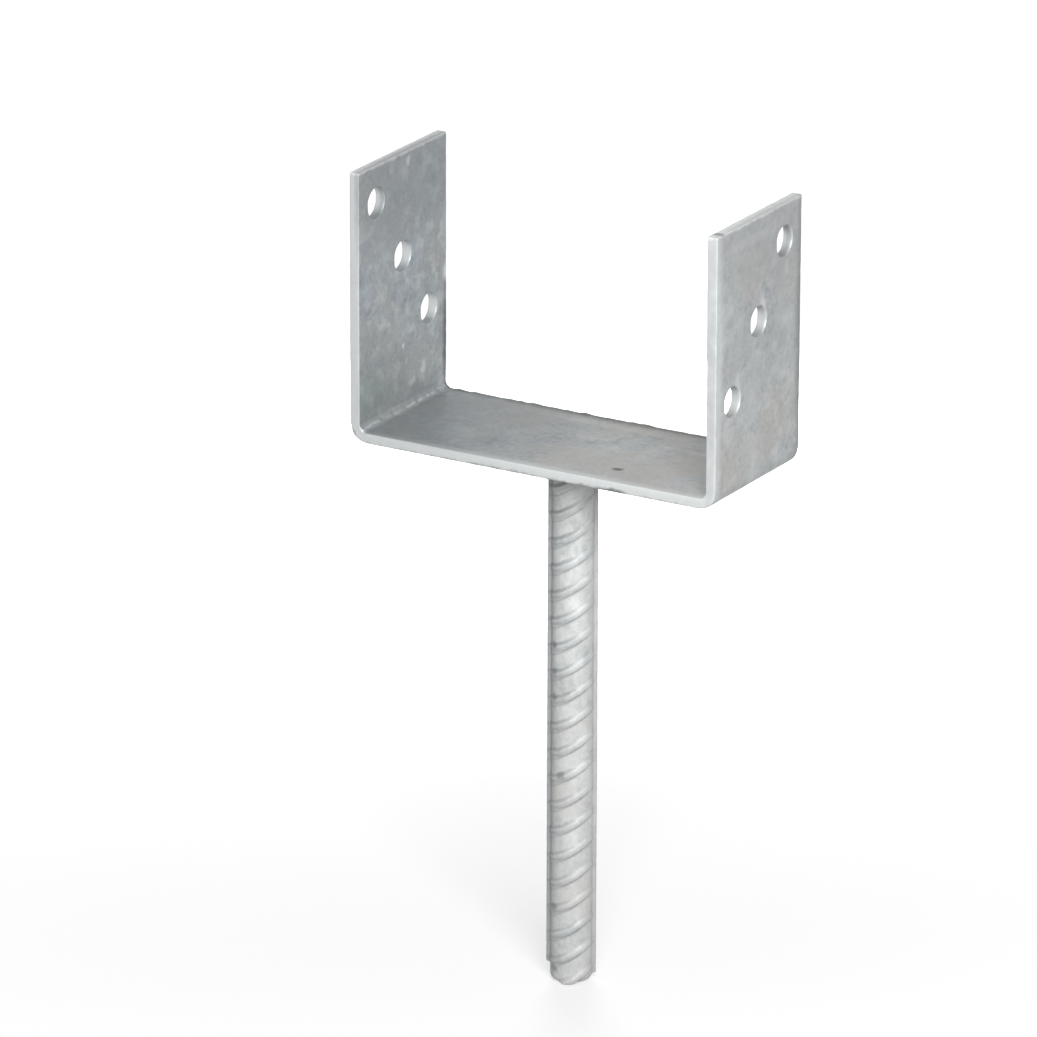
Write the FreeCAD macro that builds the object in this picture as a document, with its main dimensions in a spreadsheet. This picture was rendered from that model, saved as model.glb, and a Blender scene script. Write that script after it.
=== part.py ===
import FreeCAD, Part
import math
import os
import Sketcher

# Timber post base: a flat steel strip is folded into a U that holds the foot
# of a wooden post, and a ribbed reinforcing bar is welded upright under its
# middle and cast into the footing. All of it is then hot-dip galvanised.
# Frame: X runs across the post from ear to ear, Y along the strip's width and
# Z up. The origin is at the middle of the strip's underside, the level from
# which both the ears and the anchor bar are measured.
# Lengths are in millimetres and angles in degrees.

doc = FreeCAD.newDocument("timber_post_base")

SIZES = [
    ("inside_wide", 141, "clear width between the ears, a 140 post and 1 to spare"),
    ("strip_wide", 60, "width of the steel strip"),
    ("strip_thick", 4, "thickness of the steel strip"),
    ("ear_height", 100, "ear height from the underside of the strip"),
    ("bend_inside", 2.5, "inside radius of the two folds"),
    ("edge_break", 0.5, "small flat along the strip's rolled edges"),
    ("hole_wide", 11, "diameter of the screw holes"),
    ("hole_margin", 12, "outer holes' centres from the strip's long edges"),
    ("hole_top", 14, "first hole's centre below the ear's top"),
    ("hole_down", 24.5, "step from hole to hole down the ear"),
    ("bar_length", 200, "length of the anchor bar below the strip"),
    ("bar_core", 15.2, "diameter of the bar between its ribs"),
    ("bar_turn", 28, "turn of the bar's two long ribs from the X axis"),
    ("long_rib_high", 1.4, "height of the two long ribs over the core"),
    ("long_rib_crest", 1.8, "width of a long rib at its crest"),
    ("long_rib_foot", 3.4, "width of a long rib at the core"),
    ("cross_rib_high", 1.2, "height of a slanting rib at its middle"),
    ("cross_rib_crest", 1.2, "width of a slanting rib at its crest"),
    ("cross_rib_foot", 2.8, "width of a slanting rib at the core"),
    ("cross_rib_slope", 31, "slant of the ribs from level"),
    ("cross_rib_pitch", 10, "step between slanting ribs along the bar"),
    ("cross_rib_first", 9, "centre of the first slanting rib below the strip"),
    ("rib_sink", 1, "depth that each rib runs on inside the core"),
    ("foot_taper_long", 3.6, "length of the sheared taper at the bar's foot"),
    ("foot_taper_deep", 2.6, "depth of that taper from the ribs inwards"),
    ("trim_over", 2, "how far the cuts at the bar's ends run past it"),
    ("weld_leg", 5, "leg of the fillet weld round the top of the bar"),
]

# Each value sits in a spreadsheet cell whose alias the other objects use.
sheet = doc.addObject("Spreadsheet::Sheet", "sizes")
for row, (alias, value, note) in enumerate(SIZES, start=1):
    sheet.set("A%d" % row, alias)
    sheet.set("B%d" % row, str(value))
    sheet.set("C%d" % row, note)
    sheet.setAlias("B%d" % row, alias)
doc.recompute()

# The sketch solver's own numbers for its two axes and for a line's points.
H_AXIS, V_AXIS = range(-1, -3, -1)
START, END, CENTRE = range(1, 4)

UP = FreeCAD.Vector(0, 0, 1)


def vec(x, y):
    return FreeCAD.Vector(x, y, 0)


def new_body(name):
    body = doc.addObject("PartDesign::Body", name)
    body.Label = name
    return body


def origin_feature(body, role):
    return [item for item in body.Origin.OriginFeatures if item.Role == role][0]


def new_sketch(body, name, plane):
    sketch = body.newObject("Sketcher::SketchObject", name)
    sketch.AttachmentSupport = [(origin_feature(body, plane), "")]
    sketch.MapMode = "FlatFace"
    return sketch


def bind(item, path, formula):
    item.setExpression(path, formula)


def measure(sketch, kind, name, formula, start_value, *places):
    # Adds a dimension and binds it to the sheet.
    index = sketch.addConstraint(Sketcher.Constraint(kind, *places, start_value))
    sketch.renameConstraint(index, name)
    bind(sketch, "Constraints." + name, formula)


def closed_outline(sketch, corners):
    # Draws a closed outline of straight lines, joined end to start.
    first = sketch.GeometryCount
    count = len(corners)
    for start, end in zip(corners, corners[1:] + corners[:1]):
        sketch.addGeometry(Part.LineSegment(vec(*start), vec(*end)), False)
    for step in range(count):
        this_line = first + step
        next_line = first + (step + 1) % count
        sketch.addConstraint(Sketcher.Constraint("Coincident", this_line, END, next_line, START))


def size(alias):
    return float(sheet.get(alias))


def u_profile(sketch):
    # Section of the folded strip: two ears, a flat seat and two round folds.
    # Lines and arcs run round it in one chain, from the left ear's outer face.
    inner = size("inside_wide") / 2
    outer = inner + size("strip_thick")
    top = size("ear_height")
    thick = size("strip_thick")
    small = size("bend_inside")
    large = small + thick
    fold = inner - small
    level = thick + small

    def line(x_start, z_start, x_end, z_end):
        part = Part.LineSegment(vec(x_start, z_start), vec(x_end, z_end))
        return sketch.addGeometry(part, False)

    def arc(x, z, radius, start_turn, end_turn):
        circle = Part.Circle(vec(x, z), UP, radius)
        piece = Part.ArcOfCircle(circle, math.radians(start_turn), math.radians(end_turn))
        return sketch.addGeometry(piece, False)

    left_out = line(-outer, top, -outer, level)
    left_bend_out = arc(-fold, level, large, 180, 270)
    under = line(-fold, 0, fold, 0)
    right_bend_out = arc(fold, level, large, 270, 360)
    right_out = line(outer, level, outer, top)
    right_top = line(outer, top, inner, top)
    right_in = line(inner, top, inner, level)
    right_bend_in = arc(fold, level, small, 270, 360)
    seat = line(fold, thick, -fold, thick)
    left_bend_in = arc(-fold, level, small, 180, 270)
    left_in = line(-inner, level, -inner, top)
    left_top = line(-inner, top, -outer, top)

    def add(kind, *places):
        sketch.addConstraint(Sketcher.Constraint(kind, *places))

    add("Tangent", left_out, END, left_bend_out, START)
    add("Tangent", left_bend_out, END, under, START)
    add("Tangent", under, END, right_bend_out, START)
    add("Tangent", right_bend_out, END, right_out, START)
    add("Coincident", right_out, END, right_top, START)
    add("Coincident", right_top, END, right_in, START)
    add("Tangent", right_in, END, right_bend_in, END)
    add("Tangent", right_bend_in, START, seat, START)
    add("Tangent", seat, END, left_bend_in, END)
    add("Tangent", left_bend_in, START, left_in, START)
    add("Coincident", left_in, END, left_top, START)
    add("Coincident", left_top, END, left_out, START)
    add("Coincident", left_bend_in, CENTRE, left_bend_out, CENTRE)
    add("Coincident", right_bend_in, CENTRE, right_bend_out, CENTRE)
    for upright in (left_out, right_out, right_in, left_in):
        add("Vertical", upright)
    for level_line in (under, right_top, left_top):
        add("Horizontal", level_line)
    add("Equal", left_bend_in, right_bend_in)
    add("Equal", left_top, right_top)
    add("PointOnObject", under, START, H_AXIS)
    add("Symmetric", left_top, START, right_top, END, V_AXIS)
    measure(sketch, "Radius", "fold", "sizes.bend_inside", small, left_bend_in)
    measure(sketch, "DistanceX", "gap", "sizes.inside_wide", 2 * inner, left_top, START, right_top, END)
    measure(sketch, "DistanceX", "thick", "sizes.strip_thick", thick, left_top, END, left_top, START)
    measure(sketch, "DistanceY", "ear", "sizes.ear_height", top, under, START, left_top, START)


def rolled_edges(shape):
    # The strip's four long edges, each running from ear top to ear top. The
    # ends of the strip are sheared and stay sharp, as the holes' rims do.
    side = size("strip_wide") / 2
    top = size("ear_height")
    hair = 1e-6
    names = []
    for index, edge in enumerate(shape.Edges, start=1):
        ends = [vertex.Point for vertex in edge.Vertexes]
        on_side = all(abs(abs(point.y) - side) < hair for point in ends)
        same_side = abs(ends[0].y - ends[-1].y) < hair
        on_top = all(abs(point.z - top) < hair for point in ends)
        if on_side and same_side and not on_top:
            names.append("Edge%d" % index)
    return names


def make_u_bracket():
    body = new_body("u_bracket")

    profile = new_sketch(body, "strip_profile", "XZ_Plane")
    u_profile(profile)
    strip = body.newObject("PartDesign::Pad", "strip")
    strip.Profile = profile
    strip.SideType = "Symmetric"
    bind(strip, "Length", "sizes.strip_wide")
    doc.recompute()

    # Three holes step down one ear on a slant. They are cut away from the
    # middle of the gap, so the other ear is left whole.
    holes = new_sketch(body, "hole_rows", "YZ_Plane")
    across = size("strip_wide") / 2 - size("hole_margin")
    height = size("ear_height") - size("hole_top")
    step_down = size("hole_down")
    for step, place_across in enumerate((across, 0, -across)):
        place = vec(place_across, height - step * step_down)
        holes.addGeometry(Part.Circle(place, UP, size("hole_wide") / 2), False)
    measure(holes, "Diameter", "wide", "sizes.hole_wide", size("hole_wide"), 0)
    holes.addConstraint(Sketcher.Constraint("Equal", 0, 1))
    holes.addConstraint(Sketcher.Constraint("Equal", 0, 2))
    across_formula = "sizes.strip_wide / 2 - sizes.hole_margin"
    measure(holes, "DistanceX", "first_across", across_formula, across, H_AXIS, START, 0, CENTRE)
    measure(holes, "DistanceX", "last_across", across_formula, across, 2, CENTRE, H_AXIS, START)
    holes.addConstraint(Sketcher.Constraint("PointOnObject", 1, CENTRE, V_AXIS))
    measure(holes, "DistanceY", "first_up", "sizes.ear_height - sizes.hole_top",
            height, H_AXIS, START, 0, CENTRE)
    for lower, upper in ((1, 0), (2, 1)):
        measure(holes, "DistanceY", "down_%d" % lower, "sizes.hole_down",
                step_down, lower, CENTRE, upper, CENTRE)
    drilling = body.newObject("PartDesign::Pocket", "ear_holes")
    drilling.Profile = holes
    drilling.Type = "ThroughAll"
    drilling.Reversed = True
    doc.recompute()

    # Half a turn about the upright axis gives the other ear its holes, so the
    # two rows slant opposite ways and the screws don't meet in the post.
    both = body.newObject("PartDesign::PolarPattern", "both_ears")
    both.Originals = [drilling]
    both.Axis = (origin_feature(body, "Z_Axis"), [""])
    both.Angle = 360
    both.Occurrences = 2
    body.Tip = both
    doc.recompute()

    broken = body.newObject("PartDesign::Chamfer", "broken_edges")
    broken.Base = (both, rolled_edges(both.Shape))
    bind(broken, "Size", "sizes.edge_break")
    body.Tip = broken
    doc.recompute()
    return body


def make_anchor_bar():
    body = new_body("anchor_bar")

    ring = new_sketch(body, "core_ring", "XY_Plane")
    ring.addGeometry(Part.Circle(vec(0, 0), UP, size("bar_core") / 2), False)
    ring.addConstraint(Sketcher.Constraint("Coincident", 0, CENTRE, H_AXIS, START))
    measure(ring, "Diameter", "core", "sizes.bar_core", size("bar_core"), 0)
    core = body.newObject("PartDesign::Pad", "core")
    core.Profile = ring
    core.Reversed = True
    bind(core, "Length", "sizes.bar_length")
    doc.recompute()

    # A long rib is a trapezoid whose flanks run on into the core.
    root = size("bar_core") / 2
    crest = root + size("long_rib_high")
    sunk = root - size("rib_sink")
    flare = (size("long_rib_foot") - size("long_rib_crest")) / 2 / size("long_rib_high")
    crest_half = size("long_rib_crest") / 2
    sunk_half = size("long_rib_foot") / 2 + flare * size("rib_sink")
    section = new_sketch(body, "long_rib_section", "XY_Plane")
    closed_outline(section, [(sunk, -sunk_half), (crest, -crest_half), (crest, crest_half), (sunk, sunk_half)])
    section.addConstraint(Sketcher.Constraint("Symmetric", 1, START, 1, END, H_AXIS))
    section.addConstraint(Sketcher.Constraint("Symmetric", 3, START, 3, END, H_AXIS))
    measure(section, "DistanceX", "crest_out", "sizes.bar_core / 2 + sizes.long_rib_high",
            crest, H_AXIS, START, 1, START)
    measure(section, "DistanceX", "sunk_in", "sizes.bar_core / 2 - sizes.rib_sink",
            sunk, H_AXIS, START, 0, START)
    measure(section, "DistanceY", "crest_wide", "sizes.long_rib_crest",
            2 * crest_half, 1, START, 1, END)
    flare_formula = "(sizes.long_rib_foot - sizes.long_rib_crest) / sizes.long_rib_high"
    measure(section, "DistanceY", "sunk_wide",
            "sizes.long_rib_foot + sizes.rib_sink * " + flare_formula,
            2 * sunk_half, 3, END, 3, START)
    long_rib = body.newObject("PartDesign::Pad", "long_rib")
    long_rib.Profile = section
    long_rib.Reversed = True
    bind(long_rib, "Length", "sizes.bar_length")
    doc.recompute()

    long_ribs = body.newObject("PartDesign::PolarPattern", "long_ribs")
    long_ribs.Originals = [long_rib]
    long_ribs.Axis = (origin_feature(body, "Z_Axis"), [""])
    long_ribs.Angle = 360
    long_ribs.Occurrences = 2
    body.Tip = long_ribs
    doc.recompute()

    # A slanting pair of ribs is the rim of one tilted disc. It stands proud
    # of the core at the front and the back and sinks into it near the long
    # ribs, which gives each rib its crescent form.
    rim = root + size("cross_rib_high")
    rim_flare = (size("cross_rib_foot") - size("cross_rib_crest")) / 2 / size("cross_rib_high")
    rim_half = size("cross_rib_crest") / 2
    inner_half = size("cross_rib_foot") / 2 + rim_flare * size("rib_sink")
    disc = new_sketch(body, "cross_rib_section", "XZ_Plane")
    slant = FreeCAD.Rotation(UP, size("cross_rib_slope"))
    disc.AttachmentOffset = FreeCAD.Placement(vec(0, -size("cross_rib_first")), slant)
    bind(disc, "AttachmentOffset.Base.y", "-sizes.cross_rib_first * 1mm")
    bind(disc, "AttachmentOffset.Rotation.Angle", "sizes.cross_rib_slope * 1deg")
    closed_outline(disc, [(0, -inner_half), (sunk, -inner_half), (rim, -rim_half),
                          (rim, rim_half), (sunk, inner_half), (0, inner_half)])
    disc.addConstraint(Sketcher.Constraint("PointOnObject", 0, START, V_AXIS))
    disc.addConstraint(Sketcher.Constraint("Horizontal", 0))
    disc.addConstraint(Sketcher.Constraint("Horizontal", 4))
    disc.addConstraint(Sketcher.Constraint("Symmetric", 5, START, 5, END, H_AXIS))
    disc.addConstraint(Sketcher.Constraint("Symmetric", 2, START, 2, END, H_AXIS))
    disc.addConstraint(Sketcher.Constraint("Equal", 0, 4))
    measure(disc, "DistanceX", "rim_out", "sizes.bar_core / 2 + sizes.cross_rib_high",
            rim, H_AXIS, START, 2, START)
    measure(disc, "DistanceX", "sunk_in", "sizes.bar_core / 2 - sizes.rib_sink",
            sunk, H_AXIS, START, 0, END)
    measure(disc, "DistanceY", "rim_wide", "sizes.cross_rib_crest", 2 * rim_half, 2, START, 2, END)
    rim_flare_formula = "(sizes.cross_rib_foot - sizes.cross_rib_crest) / sizes.cross_rib_high"
    measure(disc, "DistanceY", "inner_wide",
            "sizes.cross_rib_foot + sizes.rib_sink * " + rim_flare_formula,
            2 * inner_half, 5, END, 5, START)
    cross_rib = body.newObject("PartDesign::Revolution", "cross_rib")
    cross_rib.Profile = disc
    cross_rib.ReferenceAxis = (disc, ["V_Axis"])
    cross_rib.Angle = 360
    doc.recompute()

    cross_ribs = body.newObject("PartDesign::LinearPattern", "cross_ribs")
    cross_ribs.Originals = [cross_rib]
    cross_ribs.Direction = (origin_feature(body, "Z_Axis"), [""])
    cross_ribs.Reversed = True
    steps_formula = "floor((sizes.bar_length - sizes.cross_rib_first) / sizes.cross_rib_pitch)"
    bind(cross_ribs, "Occurrences", steps_formula + " + 1")
    bind(cross_ribs, "Length", steps_formula + " * sizes.cross_rib_pitch")
    body.Tip = cross_ribs
    doc.recompute()

    # One turned cut squares the top end, ends the foot and tapers it. It has
    # to take off the whole of the ribs that slant past either end.
    reach = root + size("long_rib_high")
    over = size("trim_over")
    clear = reach + over
    length = size("bar_length")
    taper = size("foot_taper_long")
    tip = reach - size("foot_taper_deep")
    deep = size("cross_rib_pitch") + over
    trim = new_sketch(body, "end_trim", "XZ_Plane")
    closed_outline(trim, [(0, 0), (clear, 0), (clear, deep), (0, deep)])
    closed_outline(trim, [(0, -length), (tip, -length), (reach, taper - length),
                          (clear, taper - length), (clear, -length - deep), (0, -length - deep)])
    for level_line in (0, 2, 4, 6, 8):
        trim.addConstraint(Sketcher.Constraint("Horizontal", level_line))
    for upright in (1, 3, 7, 9):
        trim.addConstraint(Sketcher.Constraint("Vertical", upright))
    trim.addConstraint(Sketcher.Constraint("Coincident", 0, START, H_AXIS, START))
    trim.addConstraint(Sketcher.Constraint("PointOnObject", 4, START, V_AXIS))
    reach_formula = "sizes.bar_core / 2 + sizes.long_rib_high"
    deep_formula = "sizes.cross_rib_pitch + sizes.trim_over"
    measure(trim, "DistanceX", "top_wide", reach_formula + " + sizes.trim_over", clear, 0, START, 0, END)
    measure(trim, "DistanceY", "top_high", deep_formula, deep, 1, START, 1, END)
    measure(trim, "DistanceY", "foot_level", "sizes.bar_length", length, 4, START, H_AXIS, START)
    measure(trim, "DistanceX", "tip_wide", reach_formula + " - sizes.foot_taper_deep", tip, 4, START, 4, END)
    measure(trim, "DistanceX", "taper_wide", "sizes.foot_taper_deep", size("foot_taper_deep"), 5, START, 5, END)
    measure(trim, "DistanceY", "taper_high", "sizes.foot_taper_long", taper, 5, START, 5, END)
    measure(trim, "DistanceX", "foot_wide", "sizes.trim_over", over, 6, START, 6, END)
    measure(trim, "DistanceY", "foot_over", deep_formula, deep, 9, START, 9, END)
    ends = body.newObject("PartDesign::Groove", "trimmed_ends")
    ends.Profile = trim
    ends.ReferenceAxis = (trim, ["V_Axis"])
    ends.Angle = 360
    body.Tip = ends
    body.Placement = FreeCAD.Placement(vec(0, 0), FreeCAD.Rotation(UP, size("bar_turn")))
    bind(body, "Placement.Rotation.Angle", "sizes.bar_turn * 1deg")
    doc.recompute()
    return body


def make_weld_bead(bar):
    # The fillet weld fills the corner between the strip's underside and the
    # bar. Its ring is cut by the bar itself, so it lies on core and ribs.
    body = new_body("weld_ring")
    root = size("bar_core") / 2
    leg = size("weld_leg")
    inner = root - size("rib_sink")
    section = new_sketch(body, "weld_section", "XZ_Plane")
    closed_outline(section, [(inner, 0), (root + leg, 0), (root, -leg), (inner, -leg)])
    section.addConstraint(Sketcher.Constraint("PointOnObject", 0, START, H_AXIS))
    section.addConstraint(Sketcher.Constraint("Horizontal", 0))
    section.addConstraint(Sketcher.Constraint("Horizontal", 2))
    section.addConstraint(Sketcher.Constraint("Vertical", 3))
    measure(section, "DistanceX", "inner", "sizes.bar_core / 2 - sizes.rib_sink",
            inner, H_AXIS, START, 0, START)
    measure(section, "DistanceX", "leg_out", "sizes.bar_core / 2 + sizes.weld_leg",
            root + leg, H_AXIS, START, 0, END)
    measure(section, "DistanceX", "core_out", "sizes.bar_core / 2", root, H_AXIS, START, 2, START)
    measure(section, "DistanceY", "leg_down", "sizes.weld_leg", leg, 3, START, 3, END)
    ring = body.newObject("PartDesign::Revolution", "weld_turn")
    ring.Profile = section
    ring.ReferenceAxis = (section, ["V_Axis"])
    ring.Angle = 360
    body.Tip = ring
    doc.recompute()

    bead = doc.addObject("Part::Cut", "weld_bead")
    bead.Base = body
    bead.Tool = bar
    bead.Label = "weld_bead"
    doc.recompute()
    return bead


u_bracket = make_u_bracket()
anchor_bar = make_anchor_bar()
weld_bead = make_weld_bead(anchor_bar)
doc.recompute()

PARTS = [u_bracket, anchor_bar, weld_bead]

for item in doc.Objects:
    if "Invalid" in item.State or "Error" in item.State:
        raise RuntimeError("the object %s failed: %s" % (item.Name, item.State))
for part in PARTS:
    if part.Shape.isNull() or not part.Shape.isValid():
        raise RuntimeError("the shape of %s is empty or not valid" % part.Label)

os.makedirs("parts", exist_ok=True)
for part in PARTS:
    part.Shape.exportStep("parts/%s.step" % part.Label)
    box = part.Shape.BoundBox
    print("%s: %d solid, volume %.1f, X %.2f to %.2f, Y %.2f to %.2f, Z %.2f to %.2f" % (
        part.Label, len(part.Shape.Solids), part.Shape.Volume,
        box.XMin, box.XMax, box.YMin, box.YMax, box.ZMin, box.ZMax))
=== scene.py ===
# %% [markdown]
# # A timber post base, hot-dip galvanised
# The real object is one steel strip folded into a U, which holds the foot of
# a wooden post, and a ribbed reinforcing bar welded upright under it, which
# is cast into the footing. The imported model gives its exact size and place.
# It could be shown as it is, but a zinc bath leaves soft edges, runs and a
# cloudy skin that a drawing doesn't have, so each piece is modelled again
# here as the zinc leaves it, inside the box of the exact one.

# %% Load the exact model
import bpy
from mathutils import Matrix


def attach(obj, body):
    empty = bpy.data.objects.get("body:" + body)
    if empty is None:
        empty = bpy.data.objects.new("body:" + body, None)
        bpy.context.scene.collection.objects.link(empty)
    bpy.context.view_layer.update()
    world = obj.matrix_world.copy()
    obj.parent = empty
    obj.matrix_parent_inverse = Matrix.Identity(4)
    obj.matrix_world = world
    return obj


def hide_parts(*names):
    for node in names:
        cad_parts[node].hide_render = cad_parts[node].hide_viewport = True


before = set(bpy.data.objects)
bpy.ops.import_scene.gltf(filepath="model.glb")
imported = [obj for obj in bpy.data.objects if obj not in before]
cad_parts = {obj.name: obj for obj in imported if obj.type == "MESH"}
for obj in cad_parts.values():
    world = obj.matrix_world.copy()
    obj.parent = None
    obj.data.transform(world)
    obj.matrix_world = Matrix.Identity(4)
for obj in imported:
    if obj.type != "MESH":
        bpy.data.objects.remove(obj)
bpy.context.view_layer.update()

# %% [markdown]
# ## Sizes
# Blender works in metres, and a maker thinks in millimetres. The sizes are
# the same as in the construction, written once and used by name, so that a
# piece can't drift away from the one it stands for.

# %% Sizes of the strip, the bar and the weld
import math
import random
import bmesh
import bpy
from mathutils import Matrix, Vector

MM = 0.001
inside_wide = 141 * MM
strip_wide = 60 * MM
strip_thick = 4 * MM
ear_top = 100 * MM
bend_inside = 2.5 * MM
hole_wide = 11 * MM
hole_margin = 12 * MM
hole_top = 14 * MM
hole_down = 24.5 * MM
bar_length = 200 * MM
bar_core = 15.2 * MM
bar_turn = math.radians(28)
print("the ears stand %.0f mm apart" % (inside_wide / MM))

# %% [markdown]
# ## Camera
# The photograph looks at the base from its front right corner and from a
# little above, through a long lens, so that upright edges stay upright. The
# camera is placed by those angles round the object and then moved in its own
# picture plane, which frames the part without any lens shift.

# %% Camera at the photograph's angle
view_turn = math.radians(30.5955)
view_lift = math.radians(19.3319)
view_roll = math.radians(0.165)
view_far = 3289.2 * MM
aim_right = -19.498 * MM
aim_up = -23.333 * MM
frame_px = 1037
lens_px = 9287.3
sensor_mm = 36
sight_end = 30

forward = Vector((-math.sin(view_turn) * math.cos(view_lift),
                  math.cos(view_turn) * math.cos(view_lift),
                  -math.sin(view_lift)))
level_right = Vector((math.cos(view_turn), math.sin(view_turn), 0))
right = Matrix.Rotation(-view_roll, 3, forward) @ level_right
up = right.cross(forward)

bpy.ops.object.select_all(action="DESELECT")
bpy.ops.object.camera_add(location=aim_right * right + aim_up * up - view_far * forward)
camera = bpy.context.object
camera.name = "photo_camera"
camera.rotation_euler = Matrix((right, up, -forward)).transposed().to_euler()
camera.data.sensor_width = sensor_mm
camera.data.lens = lens_px / frame_px * sensor_mm
camera.data.clip_end = sight_end
bpy.context.scene.camera = camera
print("lens %.0f mm at %.2f m" % (camera.data.lens, view_far))

# %% [markdown]
# ## Node helpers
# Every material below is a small tree of nodes. One function turns a colour
# as a picture editor shows it into the linear values that a shader mixes,
# and one adds a node, sets it and links it, so that a tree reads as a list.
# Sockets go by name or by number. On a Mix node 0 is the share of the second
# input, 2 and 3 take plain numbers, and 6 and 7 take colours, which come out
# of socket 2.

# %% Colour and node helpers
def linear(hex_colour):
    levels = [int(hex_colour[place:place + 2], 16) / 255 for place in (1, 3, 5)]
    return [v / 12.92 if v <= 0.04045 else ((v + 0.055) / 1.055) ** 2.4 for v in levels] + [1]


def add_node(tree, kind, inputs=None, **settings):
    node = tree.nodes.new(kind)
    for name, value in settings.items():
        setattr(node, name, value)
    for socket, value in (inputs or {}).items():
        if isinstance(value, bpy.types.NodeSocket):
            tree.links.new(value, node.inputs[socket])
        else:
            node.inputs[socket].default_value = value
    return node


print("mid grey #808080 is", round(linear("#808080")[0], 3), "in linear light")

# %% [markdown]
# ## Floor
# A catalogue picture shows such a part on plain white. A wide matt floor lies
# just under the foot of the bar and takes the part's soft shadow. It is a
# plain disc, wide enough that its rim stays out of the picture from the
# photograph's height.

# %% Floor
floor_radius = 12
floor_gap = 0.2 * MM

bpy.ops.object.select_all(action="DESELECT")
bpy.ops.mesh.primitive_circle_add(vertices=96, radius=floor_radius, fill_type="NGON",
                                  location=(0, 0, -bar_length - floor_gap))
floor = bpy.context.object
floor.name = "studio_floor"
bpy.ops.object.transform_apply(location=True, rotation=True, scale=True)
print("floor at z = %.1f mm" % (floor.data.vertices[0].co.z / MM))

# %% [markdown]
# The floor and the sky are brighter where they are looked at than they are as
# a light on matt surfaces, so that a white room doesn't flatten the shading of
# the part. A look is a ray straight from the camera, one that a glossy surface
# mirrors, or one that passes through something clear.

# %% Rays that look at something
def looked_at(tree):
    ray = add_node(tree, "ShaderNodeLightPath")
    looks = ray.outputs["Is Camera Ray"]
    for kind in ("Is Glossy Ray", "Is Transmission Ray"):
        either = add_node(tree, "ShaderNodeMath", {0: looks, 1: ray.outputs[kind]}, operation="MAXIMUM")
        looks = either.outputs[0]
    return looks


print("three kinds of ray count as a look")

# %% [markdown]
# The floor is matt white paper, with a glow that shows only where it is looked
# at. The glow is stronger further out, where the lamps reach less. From below
# the floor is clear, so that the underside of the part can be looked at too.

# %% Matt white paper
glow_near = 150 * MM
glow_far = 750 * MM

paper = bpy.data.materials.new("matt_white_paper")
paper.use_nodes = True
tree = paper.node_tree
tree.nodes.clear()
matt = add_node(tree, "ShaderNodeBsdfDiffuse", {"Color": linear("#A8A8A8")})
spot = add_node(tree, "ShaderNodeTexCoord")
away = add_node(tree, "ShaderNodeVectorMath", {0: spot.outputs["Object"]}, operation="LENGTH")
fill = add_node(tree, "ShaderNodeMapRange",
                {"Value": away.outputs["Value"], "From Min": glow_near, "From Max": glow_far,
                 "To Min": 0.5, "To Max": 0.95})
glow = add_node(tree, "ShaderNodeEmission", {"Color": linear("#FFFFFF"), "Strength": fill.outputs[0]})
bright = add_node(tree, "ShaderNodeAddShader", {0: matt.outputs[0], 1: glow.outputs[0]})
upper_side = add_node(tree, "ShaderNodeMixShader",
                      {0: looked_at(tree), 1: matt.outputs[0], 2: bright.outputs[0]})
clear = add_node(tree, "ShaderNodeBsdfTransparent")
side = add_node(tree, "ShaderNodeNewGeometry")
both_sides = add_node(tree, "ShaderNodeMixShader",
                      {0: side.outputs["Backfacing"], 1: upper_side.outputs[0], 2: clear.outputs[0]})
add_node(tree, "ShaderNodeOutputMaterial", {"Surface": both_sides.outputs[0]})
floor.data.materials.append(paper)
print("paper:", len(tree.nodes), "nodes")

# %% [markdown]
# ## Light
# A pale sky and two soft lamps are all the light there is. The sky is white
# at the horizon and greyer overhead where it is looked at, which keeps level
# faces darker than upright ones, as they are in the photograph. On matt
# surfaces it shines weakly, so that the front lamp models the shapes.

# %% Sky
sky = bpy.data.worlds.new("white_horizon")
sky.use_nodes = True
tree = sky.node_tree
tree.nodes.clear()
direction = add_node(tree, "ShaderNodeTexCoord")
parts = add_node(tree, "ShaderNodeSeparateXYZ", {0: direction.outputs["Generated"]})
height = add_node(tree, "ShaderNodeMapRange",
                  {"Value": parts.outputs["Z"], "From Min": 0.1, "From Max": 0.9,
                   "To Min": 1.0, "To Max": 0.6})
strength = add_node(tree, "ShaderNodeMix", {0: looked_at(tree), 2: 0.25, 3: height.outputs[0]})
air = add_node(tree, "ShaderNodeBackground",
               {"Color": linear("#FFFFFF"), "Strength": strength.outputs[0]})
add_node(tree, "ShaderNodeOutputWorld", {"Surface": air.outputs[0]})
bpy.context.scene.world = sky
bpy.context.scene.view_settings.view_transform = "Standard"
print("sky:", len(tree.nodes), "nodes")

# %% [markdown]
# The front lamp is a large soft disc, a little above and to the right of the
# camera's line of sight. The back lamp stands low and straight behind the
# part, as the camera sees it. It lights the faces that the photograph doesn't
# show, and it isn't mirrored, so that the level seat shows no glare of it.

# %% Lamps
lamp_aim = Vector((0, 0, -50 * MM))


def add_softbox(name, place, wide, watts, mirrored):
    bpy.ops.object.light_add(type="AREA", location=place)
    lamp = bpy.context.object
    lamp.name = name
    lamp.data.shape = "DISK"
    lamp.data.size = wide
    lamp.data.energy = watts
    lamp.rotation_euler = (lamp_aim - Vector(place)).to_track_quat("-Z", "Y").to_euler()
    lamp.visible_glossy = mirrored


add_softbox("front_softbox", (0.347, -0.444, 0.325), wide=0.4, watts=5.7, mirrored=True)
add_softbox("back_softbox", (-0.353, 0.597, 0.01), wide=0.4, watts=5, mirrored=False)

# %% [markdown]
# ## Modelling helpers
# An operator works on whatever is selected, so each step starts by selecting
# one piece and nothing else. Four small helpers do what every piece needs: to
# be selected alone, to have its place and size settled in its mesh, to be
# joined with others, and to have a modifier applied. A fifth counts open
# edges, because only a closed shape can be rebuilt as a solid.

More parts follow.
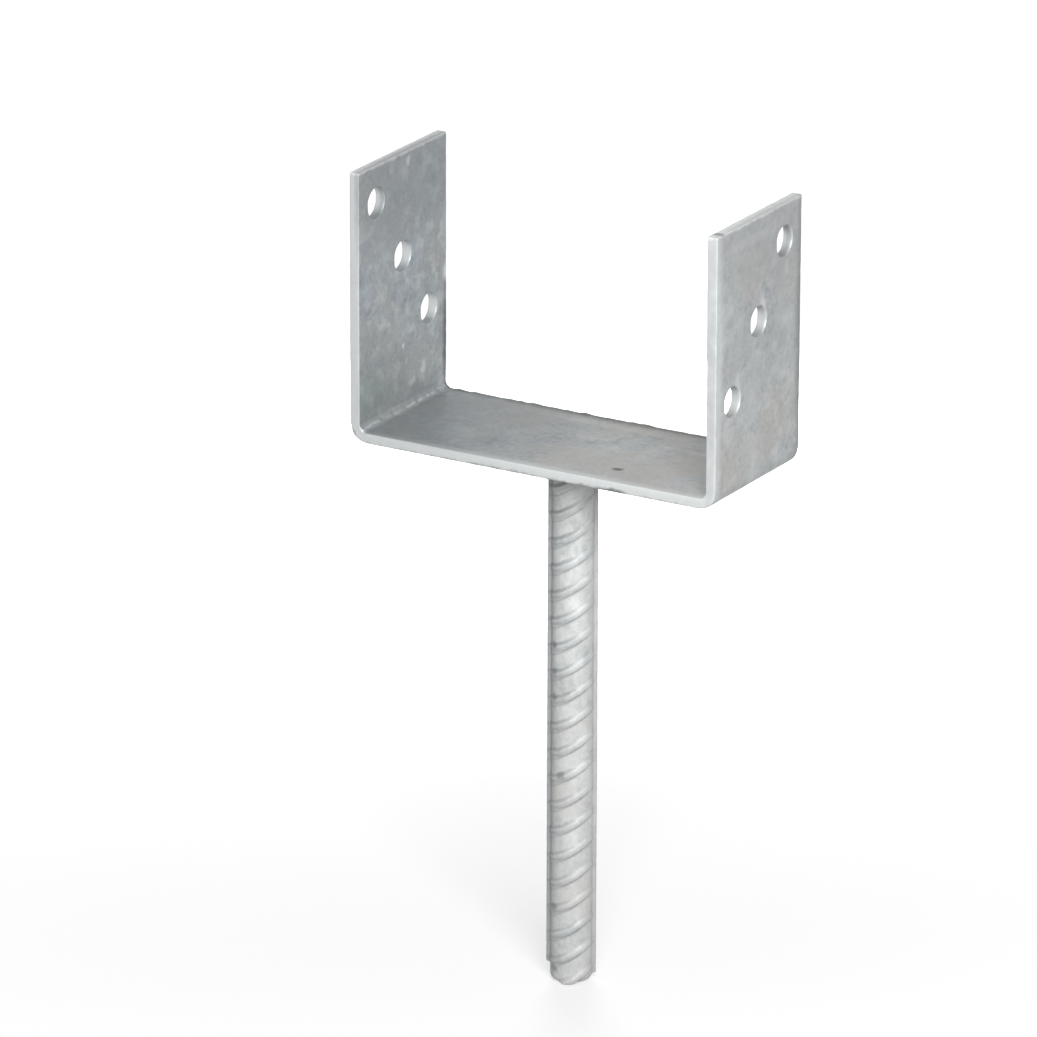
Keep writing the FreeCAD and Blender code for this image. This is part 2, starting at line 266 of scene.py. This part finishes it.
# %% Modelling helpers
def only(piece):
    bpy.ops.object.select_all(action="DESELECT")
    piece.select_set(True)
    bpy.context.view_layer.objects.active = piece


def settle(piece, name):
    piece.name = name
    piece.data.name = name
    only(piece)
    bpy.ops.object.transform_apply(location=True, rotation=True, scale=True)
    return piece


def join(pieces):
    bpy.ops.object.select_all(action="DESELECT")
    for piece in pieces:
        piece.select_set(True)
    bpy.context.view_layer.objects.active = pieces[0]
    bpy.ops.object.join()
    return pieces[0]


def apply_modifier(piece, kind, **settings):
    only(piece)
    modifier = piece.modifiers.new(kind.lower(), kind)
    for name, value in settings.items():
        setattr(modifier, name, value)
    bpy.ops.object.modifier_apply(modifier=modifier.name)


def closed_volume(piece):
    mesh = bmesh.new()
    mesh.from_mesh(piece.data)
    open_edges = sum(1 for edge in mesh.edges if not edge.is_manifold)
    volume = mesh.calc_volume(signed=True) / MM ** 3
    mesh.free()
    faces = len(piece.data.polygons)
    return "%s: %d open edges, %.0f mm3, %d faces" % (piece.name, open_edges, volume, faces)


print("helpers ready")

# %% [markdown]
# ## Zinc skin
# The bath leaves the same kind of skin on all three pieces. The shape is
# rebuilt as an even net of small squares, which melts joined parts into one,
# is smoothed as molten zinc is by its own surface tension, and is thinned at
# the end, so that the file of the mesh stays small.

# %% Zinc skin
def zinc_skin(piece, net, rounds, ripple, ripple_size, keep):
    apply_modifier(piece, "REMESH", mode="VOXEL", voxel_size=net, use_smooth_shade=True)
    apply_modifier(piece, "SMOOTH", factor=0.5, iterations=rounds)
    waves = bpy.data.textures.new("zinc_ripple", "CLOUDS")
    waves.noise_scale = ripple_size
    waves.noise_depth = 2
    # The middle level of 1 only lets the ripple sink, so nothing grows past
    # the exact model's box.
    apply_modifier(piece, "DISPLACE", texture=waves, texture_coords="LOCAL",
                   strength=ripple, mid_level=1)
    apply_modifier(piece, "DECIMATE", ratio=keep)
    only(piece)
    bpy.ops.object.shade_smooth()


print("zinc skin ready")

# %% [markdown]
# ## The folded strip
# The real strip is cut from flat bar and folded twice in a press. Here it is
# drawn the same way round: its end is a plane, which is pulled down for one
# ear, spun round the fold, pulled across for the seat, spun again and pulled
# up. A box with a bite taken out would have no round folds.

# %% Fold the strip
inner_x = inside_wide / 2
outer_x = inner_x + strip_thick
wall_x = (inner_x + outer_x) / 2
fold_x = inner_x - bend_inside
fold_z = strip_thick + bend_inside
quarter = math.pi / 2
fold_steps = 10


def pull(x, y, z):
    bpy.ops.mesh.extrude_region_move(TRANSFORM_OT_translate={"value": (x, y, z)})


def fold(centre_x):
    bpy.ops.mesh.spin(steps=fold_steps, angle=quarter, center=(centre_x, 0, fold_z), axis=(0, 1, 0))


bpy.ops.object.select_all(action="DESELECT")
bpy.ops.mesh.primitive_plane_add(size=1, location=(-wall_x, 0, ear_top))
strip = bpy.context.object
strip.scale = (strip_thick, strip_wide, 1)
settle(strip, "folded_strip")
bpy.ops.object.mode_set(mode="EDIT")
bpy.ops.mesh.select_all(action="SELECT")
pull(0, 0, fold_z - ear_top)
fold(-fold_x)
pull(2 * fold_x, 0, 0)
fold(fold_x)
pull(0, 0, ear_top - fold_z)
bpy.ops.mesh.select_all(action="SELECT")
bpy.ops.mesh.normals_make_consistent(inside=False)
bpy.ops.object.mode_set(mode="OBJECT")
print(closed_volume(strip))

# %% [markdown]
# ## The screw holes
# Three holes step down each ear on a slant, and the two ears' rows slant
# opposite ways. A drill bit is a round bar, so six round bars are joined and
# taken away from the strip in one cut.

# %% Drill the ears
hole_places = []
for side_sign in (-1, 1):
    for step in range(3):
        across = side_sign * (strip_wide / 2 - hole_margin) * (1 - step)
        hole_places.append((side_sign, across, ear_top - hole_top - step * hole_down))

bits = []
for side_sign, across, high in hole_places:
    bpy.ops.mesh.primitive_cylinder_add(vertices=64, radius=hole_wide / 2, depth=3 * strip_thick,
                                        location=(side_sign * wall_x, across, high),
                                        rotation=(0, quarter, 0))
    bits.append(settle(bpy.context.object, "drill_bit"))
drill = join(bits)
apply_modifier(strip, "BOOLEAN", object=drill, operation="DIFFERENCE", solver="EXACT")
bpy.data.objects.remove(drill)
print(closed_volume(strip))

# %% [markdown]
# ## Zinc runs
# As the strip is lifted out of the bath the zinc drains off it and sets in
# places as beads: in the two inner folds, along the rear edge of the seat, on
# the back edge of one ear and below the holes. Each bead is a small ball,
# pressed flat against the steel, and the skin melts them into the strip.

# %% Beads in the folds
chance = random.Random(11)
bead_margin = 1.6 * MM
half_fold = quarter / 2
in_fold_x = fold_x + bend_inside * math.cos(half_fold)
in_fold_z = fold_z - bend_inside * math.sin(half_fold)
beads = []


def lay_bead(spot, half_sizes):
    bpy.ops.mesh.primitive_uv_sphere_add(segments=16, ring_count=10, radius=1, location=spot)
    bead = bpy.context.object
    bead.scale = half_sizes
    beads.append(settle(bead, "zinc_bead"))


for side_sign, most in ((-1, 1.1), (1, 0.9)):
    across = -strip_wide / 2 + bead_margin
    while across < strip_wide / 2 - bead_margin:
        half = chance.uniform(0.55, most) * MM
        spot = (side_sign * (in_fold_x + chance.uniform(-0.3, 0.3) * MM), across, in_fold_z)
        lay_bead(spot, (half, chance.uniform(0.9, 1.8) * MM, half))
        across += chance.uniform(1.4, 3.2) * MM
print(len(beads), "beads in the folds")

# %% Beads along the rear edge and drips on the ears
rear_edge = strip_wide / 2
rear_first = -inner_x + 6 * MM
rear_last = inner_x - 4 * MM
drip_below_hole = 9.2 * MM

along = rear_first
while along < rear_last:
    half = chance.uniform(0.35, 0.8) * MM
    lay_bead((along, rear_edge - 1.1 * MM, strip_thick - 0.1 * MM),
             (chance.uniform(1, 3.5) * MM, 0.9 * MM, half))
    along += chance.uniform(3, 9) * MM
for high, half_tall in ((48, 3.2), (44.5, 1.4), (9, 2)):
    lay_bead((-wall_x, rear_edge - 0.9 * MM, high * MM), (2 * MM, 0.85 * MM, half_tall * MM))
for side_sign, across, high in hole_places:
    spot = (side_sign * (outer_x - 0.5 * MM), across + 1.5 * MM, high - drip_below_hole)
    lay_bead(spot, (0.45 * MM, 1.3 * MM, 3.6 * MM))
strip = join([strip] + beads)
print(len(beads), "beads in all")

# %% Let the zinc round the strip
zinc_skin(strip, net=0.5 * MM, rounds=9, ripple=0.18 * MM, ripple_size=5 * MM, keep=0.5)
print(closed_volume(strip))

# %% [markdown]
# ## The anchor bar
# Reinforcing bar is rolled with two long ribs and slanting crescent ribs
# between them, and then cut to length. Here it starts as a round core, whose
# foot is bevelled, as the photograph shows its cut end.

# %% Core of the bar
core = bar_core / 2
foot_bevel = 1.8 * MM
near_enough = 0.01 * MM


def bevel_edges(piece, chosen, offset, segments):
    bpy.ops.object.mode_set(mode="EDIT")
    bpy.ops.mesh.select_mode(type="EDGE")
    mesh = bmesh.from_edit_mesh(piece.data)
    for edge in mesh.edges:
        edge.select_set(chosen(edge))
    bmesh.update_edit_mesh(piece.data)
    bpy.ops.mesh.bevel(offset=offset, segments=segments)
    bpy.ops.object.mode_set(mode="OBJECT")


def on_foot(edge):
    return all(vert.co.z < -bar_length + near_enough for vert in edge.verts)


bpy.ops.object.select_all(action="DESELECT")
bpy.ops.mesh.primitive_cylinder_add(vertices=96, radius=core, depth=bar_length,
                                    location=(0, 0, -bar_length / 2))
bar = settle(bpy.context.object, "ribbed_bar")
bevel_edges(bar, on_foot, foot_bevel, segments=3)
print(closed_volume(bar))

# %% [markdown]
# Each long rib is a box that reaches from the bar's axis outwards, and its
# outer face is narrowed to a crest. It stops short of the foot, the left one
# by more, as in the photograph.

# %% Long ribs
long_rib_high = 1.4 * MM
long_rib_crest = 1.8 * MM
long_rib_foot = 3.4 * MM
crest_shorter = 2.4 * MM


def add_long_rib(turn, stop):
    length = bar_length - stop
    bpy.ops.mesh.primitive_cube_add(size=1, location=((core + long_rib_high) / 2, 0, -length / 2))
    rib = bpy.context.object
    rib.scale = (core + long_rib_high, long_rib_foot, length)
    settle(rib, "long_rib")
    bpy.ops.object.mode_set(mode="EDIT")
    bpy.ops.mesh.select_mode(type="FACE")
    mesh = bmesh.from_edit_mesh(rib.data)
    for face in mesh.faces:
        face.select_set(face.normal.x > 0.9)
    bmesh.update_edit_mesh(rib.data)
    bpy.ops.transform.resize(value=(1, long_rib_crest / long_rib_foot, 1 - crest_shorter / length))
    bpy.ops.object.mode_set(mode="OBJECT")
    rib.rotation_euler = (0, 0, turn)
    return settle(rib, "long_rib")


right_rib = add_long_rib(bar_turn, stop=0.8 * MM)
left_rib = add_long_rib(bar_turn + math.pi, stop=5 * MM)
bar = join([bar, right_rib, left_rib])
print(closed_volume(bar))

# %% [markdown]
# A crescent rib is the rim of a disc that is a little wider than the bar and
# tilted through it: it stands out at the front and the back and sinks in at
# the sides. Its rim is bevelled first, because a rolled rib has sloping sides
# and a round crest. One disc is made, and an array repeats it at even steps
# down the bar.

# %% Slanting ribs
cross_rib_high = 1.2 * MM
cross_rib_foot = 2.8 * MM
cross_rib_slope = math.radians(31)
cross_rib_pitch = 10 * MM
cross_rib_first = 9 * MM
cross_rib_count = 20
cross_rib_bevel = 0.9 * MM


def on_rim(edge):
    return abs(edge.verts[0].co.z - edge.verts[1].co.z) < near_enough


bpy.ops.object.select_all(action="DESELECT")
bpy.ops.mesh.primitive_cylinder_add(vertices=128, radius=core + cross_rib_high, depth=cross_rib_foot)
disc = settle(bpy.context.object, "slanting_rib")
bevel_edges(disc, on_rim, cross_rib_bevel, segments=2)
disc.rotation_euler = (0, -cross_rib_slope, 0)
settle(disc, "slanting_rib")
disc.rotation_euler = (0, 0, bar_turn)
disc.location = (0, 0, -cross_rib_first)
settle(disc, "slanting_rib")
apply_modifier(disc, "ARRAY", count=cross_rib_count, use_relative_offset=False, use_constant_offset=True,
               constant_offset_displace=(0, 0, -cross_rib_pitch))
bar = join([bar, disc])
print(closed_volume(bar))

# %% [markdown]
# A mill cuts the bar straight across and through whatever ribs lie there. A
# bisect does the same: it takes away what lies past a level plane and closes
# the cut. The foot is cut 0.05 mm above its true end, to keep the rebuilt skin
# inside the exact box.

# %% Trim the ends and let the zinc round the bar
foot_trim = 0.05 * MM


def cut_level(height, side):
    bpy.ops.mesh.select_all(action="SELECT")
    bpy.ops.mesh.bisect(plane_co=(0, 0, height), plane_no=(0, 0, side), use_fill=True, clear_outer=True)


bpy.ops.object.mode_set(mode="EDIT")
cut_level(0, side=1)
cut_level(foot_trim - bar_length, side=-1)
bpy.ops.object.mode_set(mode="OBJECT")
zinc_skin(bar, net=0.34 * MM, rounds=8, ripple=0.12 * MM, ripple_size=3 * MM, keep=0.7)
print(closed_volume(bar))

# %% [markdown]
# ## The weld
# A hand-laid fillet weld is a row of overlapping drops, each laid a little
# further round. A plain cone fills the corner under the strip, and a ring of
# flattened drops stands a little out of it. The cone is a little smaller than
# the exact weld, which leaves room for the drops.

# %% Lay the weld
weld_leg = 5 * MM
weld_out = weld_leg - 0.5 * MM
weld_deep = weld_leg - 0.3 * MM
weld_drops = 26
drop_centre = 2.15 * MM
drop_sizes = (1.2 * MM, 1.5 * MM, 2.9 * MM)
drop_lean = 0.35

bpy.ops.object.select_all(action="DESELECT")
bpy.ops.mesh.primitive_cone_add(vertices=96, radius1=core, radius2=core + weld_out,
                                depth=weld_deep, location=(0, 0, -weld_deep / 2))
weld = settle(bpy.context.object, "weld_ring")
drops = []
for step in range(weld_drops):
    turn = 2 * math.pi * step / weld_drops
    bpy.ops.mesh.primitive_uv_sphere_add(segments=20, ring_count=12, radius=1,
                                         location=(core + drop_centre, 0, -drop_centre))
    drop = bpy.context.object
    drop.scale = drop_sizes
    drop.rotation_euler = (drop_lean, quarter / 2, 0)
    settle(drop, "weld_drop")
    drop.rotation_euler = (0, 0, turn)
    drops.append(settle(drop, "weld_drop"))
weld = join([weld] + drops)
bpy.ops.object.mode_set(mode="EDIT")
cut_level(0, side=1)
bpy.ops.object.mode_set(mode="OBJECT")
zinc_skin(weld, net=0.25 * MM, rounds=2, ripple=0.05 * MM, ripple_size=2 * MM, keep=0.8)
print(closed_volume(weld))

# %% [markdown]
# ## Galvanised steel
# Hot-dip zinc dulls to a matt grey with soft clouds, where the alloy layer
# comes through, and a fine grain that breaks up reflections. It stays partly
# metal, so it takes some of its brightness from the room, and its roughness
# hides any clear reflection. Sizes in the patterns are real millimetres.

# %% Clouds in the zinc
cloud_rough = 0.6


def size_to_scale(width):
    # A noise pattern repeats about once per unit, so its scale is one over
    # the width of a patch in metres.
    return 1 / width


def cloud_share(tree, place, width, detail, start, full, most):
    # The share is nothing where the noise is at its start level, and the most
    # where the noise is at its full level.
    clouds = add_node(tree, "ShaderNodeTexNoise",
                      {"Vector": place, "Scale": size_to_scale(width), "Detail": detail,
                       "Roughness": cloud_rough})
    share = add_node(tree, "ShaderNodeMapRange",
                     {"Value": clouds.outputs[0], "From Min": start, "From Max": full, "To Max": most})
    return share.outputs[0]


def zinc_base(name, dark_hex, pale_hex, warm_hex):
    # Each layer is the width of its patches, its detail, the levels of noise
    # at which it starts and is full, its greatest share and its colour.
    layers = (
        (9 * MM, 5, 0.3, 0.7, 1, pale_hex),
        (2.2 * MM, 3, 0.38, 0.68, 0.6, pale_hex),
        (30 * MM, 2, 0.42, 0.62, 0.7, warm_hex),
        (1.3 * MM, 2, 0.52, 0.74, 0.45, pale_hex),
        (1.6 * MM, 2, 0.46, 0.26, 0.35, dark_hex),
    )
    zinc = bpy.data.materials.new(name)
    zinc.use_nodes = True
    tree = zinc.node_tree
    tree.nodes.clear()
    place = add_node(tree, "ShaderNodeTexCoord").outputs["Object"]
    colour = linear(dark_hex)
    for width, detail, start, full, most, tone_hex in layers:
        share = cloud_share(tree, place, width, detail, start, full, most)
        layer = add_node(tree, "ShaderNodeMix", {0: share, 6: colour, 7: linear(tone_hex)},
                         data_type="RGBA")
        colour = layer.outputs[2]
    return zinc, tree, place, colour


print("a 9 mm cloud has the scale %.0f" % size_to_scale(9 * MM))

# %% [markdown]
# A stain, a run, a thicker skin, a painted shade or a painted highlight has a
# place on the part and a ragged rim.
# Its place is a point and a reach in millimetres. Its rim is ragged because
# it is measured in coordinates that a noise pattern pushes to and fro.

# %% Patches with a ragged rim
full_within = 0.45


def wander(tree, place, width, swing):
    drift = add_node(tree, "ShaderNodeTexNoise",
                     {"Vector": place, "Scale": size_to_scale(width), "Detail": 2,
                      "Roughness": cloud_rough})
    centred = add_node(tree, "ShaderNodeVectorMath", {0: drift.outputs["Color"], 1: (0.5, 0.5, 0.5)},
                       operation="SUBTRACT")
    scaled = add_node(tree, "ShaderNodeVectorMath", {0: centred.outputs[0], "Scale": swing},
                      operation="SCALE")
    moved = add_node(tree, "ShaderNodeVectorMath", {0: place, 1: scaled.outputs[0]}, operation="ADD")
    return moved.outputs[0]


def patch(tree, colour, ragged, centre, reach, tone_hex, most):
    moved = add_node(tree, "ShaderNodeVectorMath", {0: ragged, 1: [v * MM for v in centre]},
                     operation="SUBTRACT")
    sized = add_node(tree, "ShaderNodeVectorMath", {0: moved.outputs[0], 1: [v * MM for v in reach]},
                     operation="DIVIDE")
    away = add_node(tree, "ShaderNodeVectorMath", {0: sized.outputs[0]}, operation="LENGTH")
    share = add_node(tree, "ShaderNodeMapRange",
                     {"Value": away.outputs["Value"], "From Min": 1, "From Max": full_within,
                      "To Max": most})
    mixed = add_node(tree, "ShaderNodeMix", {0: share.outputs[0], 6: colour, 7: linear(tone_hex)},
                     data_type="RGBA")
    return mixed.outputs[2]


print("a patch is full within %.0f%% of its reach" % (100 * full_within))

# %% [markdown]
# Dull zinc scatters light as a matt paint does and mirrors a little of the
# room as metal does, so it is partly metallic and fairly rough. Its grain is
# finer than a tenth of a millimetre and is drawn 0.9 mm wide, as coarse as it
# needs to be to show at all.

# %% Grain and gloss
grain_wide = 0.9 * MM
grain_deep = 0.05 * MM


def finish_zinc(tree, place, colour, metallic, smoothest, roughest):
    grain = add_node(tree, "ShaderNodeTexNoise",
                     {"Vector": place, "Scale": size_to_scale(grain_wide), "Detail": 3,
                      "Roughness": cloud_rough})
    rough = add_node(tree, "ShaderNodeMapRange",
                     {"Value": grain.outputs[0], "From Min": 0.3, "From Max": 0.7,
                      "To Min": smoothest, "To Max": roughest})
    relief = add_node(tree, "ShaderNodeBump",
                      {"Height": grain.outputs[0], "Strength": 0.35, "Distance": grain_deep})
    steel = add_node(tree, "ShaderNodeBsdfPrincipled",
                     {"Base Color": colour, "Roughness": rough.outputs[0], "Normal": relief.outputs[0],
                      "Metallic": metallic})
    add_node(tree, "ShaderNodeOutputMaterial", {"Surface": steel.outputs[0]})


print("finish ready")

# %% [markdown]
# ## Finish of the strip
# The left half of the strip is darkened and cooled, a painted shade. The cut
# edges, which face forwards and back, are painted paler, a painted highlight.

# %% Painted shade on the left half, painted highlight on the cut edges
strip_zinc, tree, place, colour = zinc_base("galvanised_strip_steel", "#8E9396", "#B8BBBC", "#ADABA7")
ragged = wander(tree, place, width=4 * MM, swing=2.2 * MM)

spot = add_node(tree, "ShaderNodeSeparateXYZ", {0: place})
# Painted shade: the strip is darkened and cooled towards its left.
painted_shade_left = add_node(tree, "ShaderNodeMapRange",
                     {"Value": spot.outputs["X"], "From Min": 10 * MM, "From Max": -60 * MM})
shaded_left_colour = add_node(tree, "ShaderNodeMix", {0: painted_shade_left.outputs[0], 6: colour, 7: linear("#DEE3E7")},
                  data_type="RGBA", blend_type="MULTIPLY")
surface = add_node(tree, "ShaderNodeTexCoord")
facing = add_node(tree, "ShaderNodeSeparateXYZ", {0: surface.outputs["Normal"]})
edge_on = add_node(tree, "ShaderNodeMath", {0: facing.outputs["Y"]}, operation="ABSOLUTE")
# Painted highlight: faces turned forwards or back are painted paler.
edge_highlight_share = add_node(tree, "ShaderNodeMapRange",
                      {"Value": edge_on.outputs[0], "From Min": 0.35, "From Max": 0.9, "To Max": 0.75})
edge_highlighted = add_node(tree, "ShaderNodeMix",
                 {0: edge_highlight_share.outputs[0], 6: shaded_left_colour.outputs[2], 7: linear("#CFD2D2")},
                 data_type="RGBA")
print("strip base:", len(tree.nodes), "nodes")

# %% [markdown]
# Zinc runs down the ears while it sets, so they are more mottled than the
# level seat. The mottling is a pale and a dark layer of clouds, weighted by
# how squarely a face looks sideways.

# %% Mottling of the ears
on_ear = add_node(tree, "ShaderNodeMath", {0: facing.outputs["X"]}, operation="ABSOLUTE")
colour = edge_highlighted.outputs[2]
for width, start, full, most, tone_hex in ((6 * MM, 0.5, 0.68, 0.28, "#D2D6D6"),
                                           (4 * MM, 0.48, 0.32, 0.2, "#6F7477")):
    clouds = cloud_share(tree, place, width, 3, start, full, most)
    share = add_node(tree, "ShaderNodeMath", {0: clouds, 1: on_ear.outputs[0]}, operation="MULTIPLY")
    mottled = add_node(tree, "ShaderNodeMix", {0: share.outputs[0], 6: colour, 7: linear(tone_hex)},
                       data_type="RGBA")
    colour = mottled.outputs[2]
print("mottled strip:", len(tree.nodes), "nodes")

# %% [markdown]
# The rest are patches: pale tops on the ears, dark dross with painted shade
# along the rear edge, painted shade under the lower front edge and in the left
# inner fold, painted highlights along the front of the seat and on the fold's
# zinc beads, painted shade down the right ear's back edge and over the left of
# the seat, duller and paler areas on the faces, pale runs, and a few specks.

# %% Runs and stains on the strip
# Each row is a patch's centre and reach in millimetres, its colour and its
# greatest share.
strip_patches = (
    ((0, 0, 100.3), (1000, 1000, 1.6), "#E4E6E6", 0.85),
    # Painted shade in the left inner fold, and a painted highlight on its zinc beads.
    ((-68.8, 0, 5.7), (3.4, 60, 3.4), "#7B8183", 0.45),
    ((-69.8, 0, 4.7), (0.8, 60, 0.8), "#C6CACA", 0.5),
    ((-64, 29.5, 4.5), (7, 2.6, 2.6), "#474944", 0.7),
    # Dark dross along the seat's rear edge, with painted shade where the edge rolls away.
    ((0, 31.5, 4), (115, 6.5, 3), "#5A5B55", 0.75),
    # Painted shade under the seat's front edge.
    ((0, -30.6, -0.2), (110, 1.7, 1.5), "#767C79", 0.75),
    ((33, -30.4, 0), (9, 2, 1.8), "#4F5452", 0.8),
    # A painted highlight along the front of the seat.
    ((10, -31, 4), (120, 5.5, 2.5), "#D0D5D4", 0.5),
    ((-71.5, 31, 24), (6, 4.6, 34), "#3F4345", 0.85),
    ((-72, 30, 48), (5, 3, 5), "#CDD0CF", 0.8),
    ((-70.5, 3.5, 96), (2, 1.5, 2.2), "#D9DCDC", 0.7),
    ((-70.5, 0, 28), (2, 1.3, 1.5), "#D3D7D8", 0.6),
    ((-74, -30, 2.5), (2.6, 3, 2.6), "#616664", 0.7),
    ((27.9, -17.5, 4), (2.6, 2.4, 2), "#4A4B48", 0.85),
    # Painted shade down the right ear's back edge.
    ((74.5, 31.5, 50), (3, 6, 90), "#6C6F73", 0.65),
    ((74.5, -6, 93), (2, 22, 2.6), "#C4C7C8", 0.4),
    ((74.5, 2.5, 66), (2, 3, 6.5), "#D3D6D6", 0.7),
    ((74.5, -15, 41.5), (2, 3, 6), "#CFD2D2", 0.6),
    ((74.5, 19.5, 76), (2, 2, 4), "#BFC3C4", 0.5),
    ((72.5, -26, 100), (3, 2.2, 1.6), "#6E6F72", 0.7),
    ((-70.5, 0, 94), (3, 60, 36), "#777B7E", 0.5),
    # Painted shade over the left of the seat.
    ((-40, 0, 4), (45, 45, 2), "#86898A", 0.3),
    ((74.5, 4, 92), (3, 50, 26), "#8E9195", 0.4),
    ((74.5, 2, 54), (3, 34, 24), "#8A8D90", 0.2),
    ((74.5, -30, 52), (3, 5.5, 85), "#C9CDCD", 0.6),
    ((72.5, -31, 52), (4, 2.2, 90), "#A6AAAB", 0.6),
    ((-70.5, -20, 16), (3, 13, 16), "#85928E", 0.35),
    ((-70.5, 14, 16), (3, 2.2, 3), "#C3C8C8", 0.5),
    ((-70.5, 6, 13), (3, 3.5, 1.6), "#BCC1C1", 0.45),
    ((2, 22, 4), (34, 3, 2), "#C2C1BC", 0.3),
    ((40, 12, 4), (30, 2.4, 2), "#C6C5C0", 0.3),
)
for centre, reach, tone_hex, most in strip_patches:
    colour = patch(tree, colour, ragged, centre, reach, tone_hex, most)
print(len(strip_patches), "patches on the strip")

# %% [markdown]
# The walls of the right ear's holes are painted darker than its faces, a
# painted shade in the holes, most of all in the top one. Each gets a patch in
# the middle of the ear that is too thin to reach the ear's faces with any
# strength.

# %% Painted shade in the right ear's holes
hole_shade_reach = (2.1, 9, 9)
right_holes = [(across, high) for side_sign, across, high in hole_places if side_sign > 0]
for (across, high), most in zip(right_holes, (0.75, 0.33, 0.4)):
    middle = (wall_x / MM, across / MM, high / MM)
    # Painted shade on the walls of each hole.
    colour = patch(tree, colour, place, middle, hole_shade_reach, "#6F7477", most)
finish_zinc(tree, place, colour, metallic=0.45, smoothest=0.46, roughest=0.6)
print("strip finish:", len(tree.nodes), "nodes")

# %% [markdown]
# ## Finish of the bar
# The bar is rougher and paler than the strip. Its two long ribs and the core
# next to them are darkened as painted shade, most on the left one, and a few
# dark spots of dross lie on its left.
# A Mapping node turns the pattern with the bar, so that its X runs through
# the two long ribs.

# %% Long ribs and spots of the bar
bar_zinc, tree, place, colour = zinc_base("galvanised_ribbed_bar", "#ADB1B1", "#D6D8D7", "#C8C6C3")
turned = add_node(tree, "ShaderNodeMapping", {"Vector": place, "Rotation": (0, 0, -bar_turn)})
ragged = wander(tree, turned.outputs[0], width=4 * MM, swing=2.2 * MM)
bar_patches = (
    # The first three rows are painted shade along the long ribs, most on the left; the rest are spots of
    # dross.
    ((-8.6, 0, -100), (6.4, 6.4, 1000), "#A4A8A9", 0.6),
    ((-8.6, 0, -100), (3.6, 3.6, 1000), "#929698", 0.6),
    ((8.6, 0, -100), (3.2, 3.2, 1000), "#A9ABAA", 0.6),
    ((-6.2, -4.4, -71), (2.2, 2.6, 1.7), "#666B6D", 0.6),
    ((-6.2, -4.4, -81), (2.2, 2.6, 1.7), "#767B7D", 0.6),
    ((-6.2, -4.4, -90.5), (2.2, 2.6, 1.7), "#6E7375", 0.6),
    ((-6.2, -4.4, -171), (2.2, 2.6, 1.7), "#767B7D", 0.6),
    ((-6.2, -4.4, -195), (2.2, 2.6, 1.7), "#7E8385", 0.6),
    ((-3.6, -6.7, -120), (2.8, 2.8, 1.9), "#868A8A", 0.65),
)
for centre, reach, tone_hex, most in bar_patches:
    colour = patch(tree, colour, ragged, centre, reach, tone_hex, most)
print("bar base:", len(tree.nodes), "nodes")

# %% [markdown]
# Painted shade lies in the corners over and under each slanting rib and on its
# crest, most on the left and near the top. The height over the tilted plane
# through a rib repeats with the ribs' pitch, and folding it back at half a
# pitch gives the distance from the nearest rib. Each line of painted shade is
# a band of that distance.

# %% Painted shade along the slanting ribs
along_rib = wander(tree, turned.outputs[0], width=5 * MM, swing=0.9 * MM)
parts = add_node(tree, "ShaderNodeSeparateXYZ", {0: along_rib})
climb = add_node(tree, "ShaderNodeMath",
                 {0: parts.outputs["X"], 1: -math.tan(cross_rib_slope), 2: parts.outputs["Z"]},
                 operation="MULTIPLY_ADD")
# The painted shade is strongest on the left and near the top.
shade_to_left = add_node(tree, "ShaderNodeMapRange",
                     {"Value": parts.outputs["X"], "From Min": 5 * MM, "From Max": -5 * MM,
                      "To Min": 0.15})
shade_to_top = add_node(tree, "ShaderNodeMapRange",
                      {"Value": parts.outputs["Z"], "From Min": -0.8 * bar_length,
                       "From Max": -0.1 * bar_length, "To Min": 0.6})
shade_weight = add_node(tree, "ShaderNodeMath", {0: shade_to_left.outputs[0], 1: shade_to_top.outputs[0]},
                  operation="MULTIPLY")
# Painted shade over each rib, on its crest and under it.
painted_rib_shade_lines = (
    (1.9 * MM, 0.9 * MM, "#757B7D", 0.62, shade_weight),
    (0, 1.3 * MM, "#A2A6A8", 0.4, shade_to_top),
    (-1.9 * MM, 0.7 * MM, "#8C9193", 0.45, shade_weight),
)
for above, half_wide, tone_hex, most, weight in painted_rib_shade_lines:
    from_rib = add_node(tree, "ShaderNodeMath", {0: climb.outputs[0], 1: cross_rib_first - above},
                        operation="ADD")
    away = add_node(tree, "ShaderNodeMath", {0: from_rib.outputs[0], 1: cross_rib_pitch / 2},
                    operation="PINGPONG")
    line = add_node(tree, "ShaderNodeMapRange",
                    {"Value": away.outputs[0], "From Min": half_wide, "From Max": 0.2 * half_wide,
                     "To Max": most})
    share = add_node(tree, "ShaderNodeMath", {0: line.outputs[0], 1: weight.outputs[0]},
                     operation="MULTIPLY")
    mixed = add_node(tree, "ShaderNodeMix", {0: share.outputs[0], 6: colour, 7: linear(tone_hex)},
                     data_type="RGBA")
    colour = mixed.outputs[2]
finish_zinc(tree, place, colour, metallic=0.34, smoothest=0.68, roughest=0.8)
print("bar finish:", len(tree.nodes), "nodes")

# %% [markdown]
# ## Finish of the weld
# The weld was laid before the bath, so it has the same zinc, only darker,
# because the rough steel under it takes a thicker alloy layer.

# %% Finish of the weld
weld_zinc, tree, place, colour = zinc_base("galvanised_weld_metal", "#9DA2A4", "#BFC2C2", "#B5B4B1")
finish_zinc(tree, place, colour, metallic=0.45, smoothest=0.46, roughest=0.6)
print("materials:", strip_zinc.name, bar_zinc.name, weld_zinc.name)

# %% [markdown]
# ## Put the pieces in place
# Each new piece stands for one exact piece, which is hidden, rides with the
# object's only body and takes the finish made for it above.

# %% Place and finish
for piece, zinc, node, slot in ((strip, strip_zinc, "u_bracket", "galvanised_strip"),
                                (bar, bar_zinc, "anchor_bar", "galvanised_bar"),
                                (weld, weld_zinc, "weld_bead", "galvanised_weld")):
    piece.data.materials.clear()
    piece.data.materials.append(zinc)
    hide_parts(node)
    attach(piece, "root")
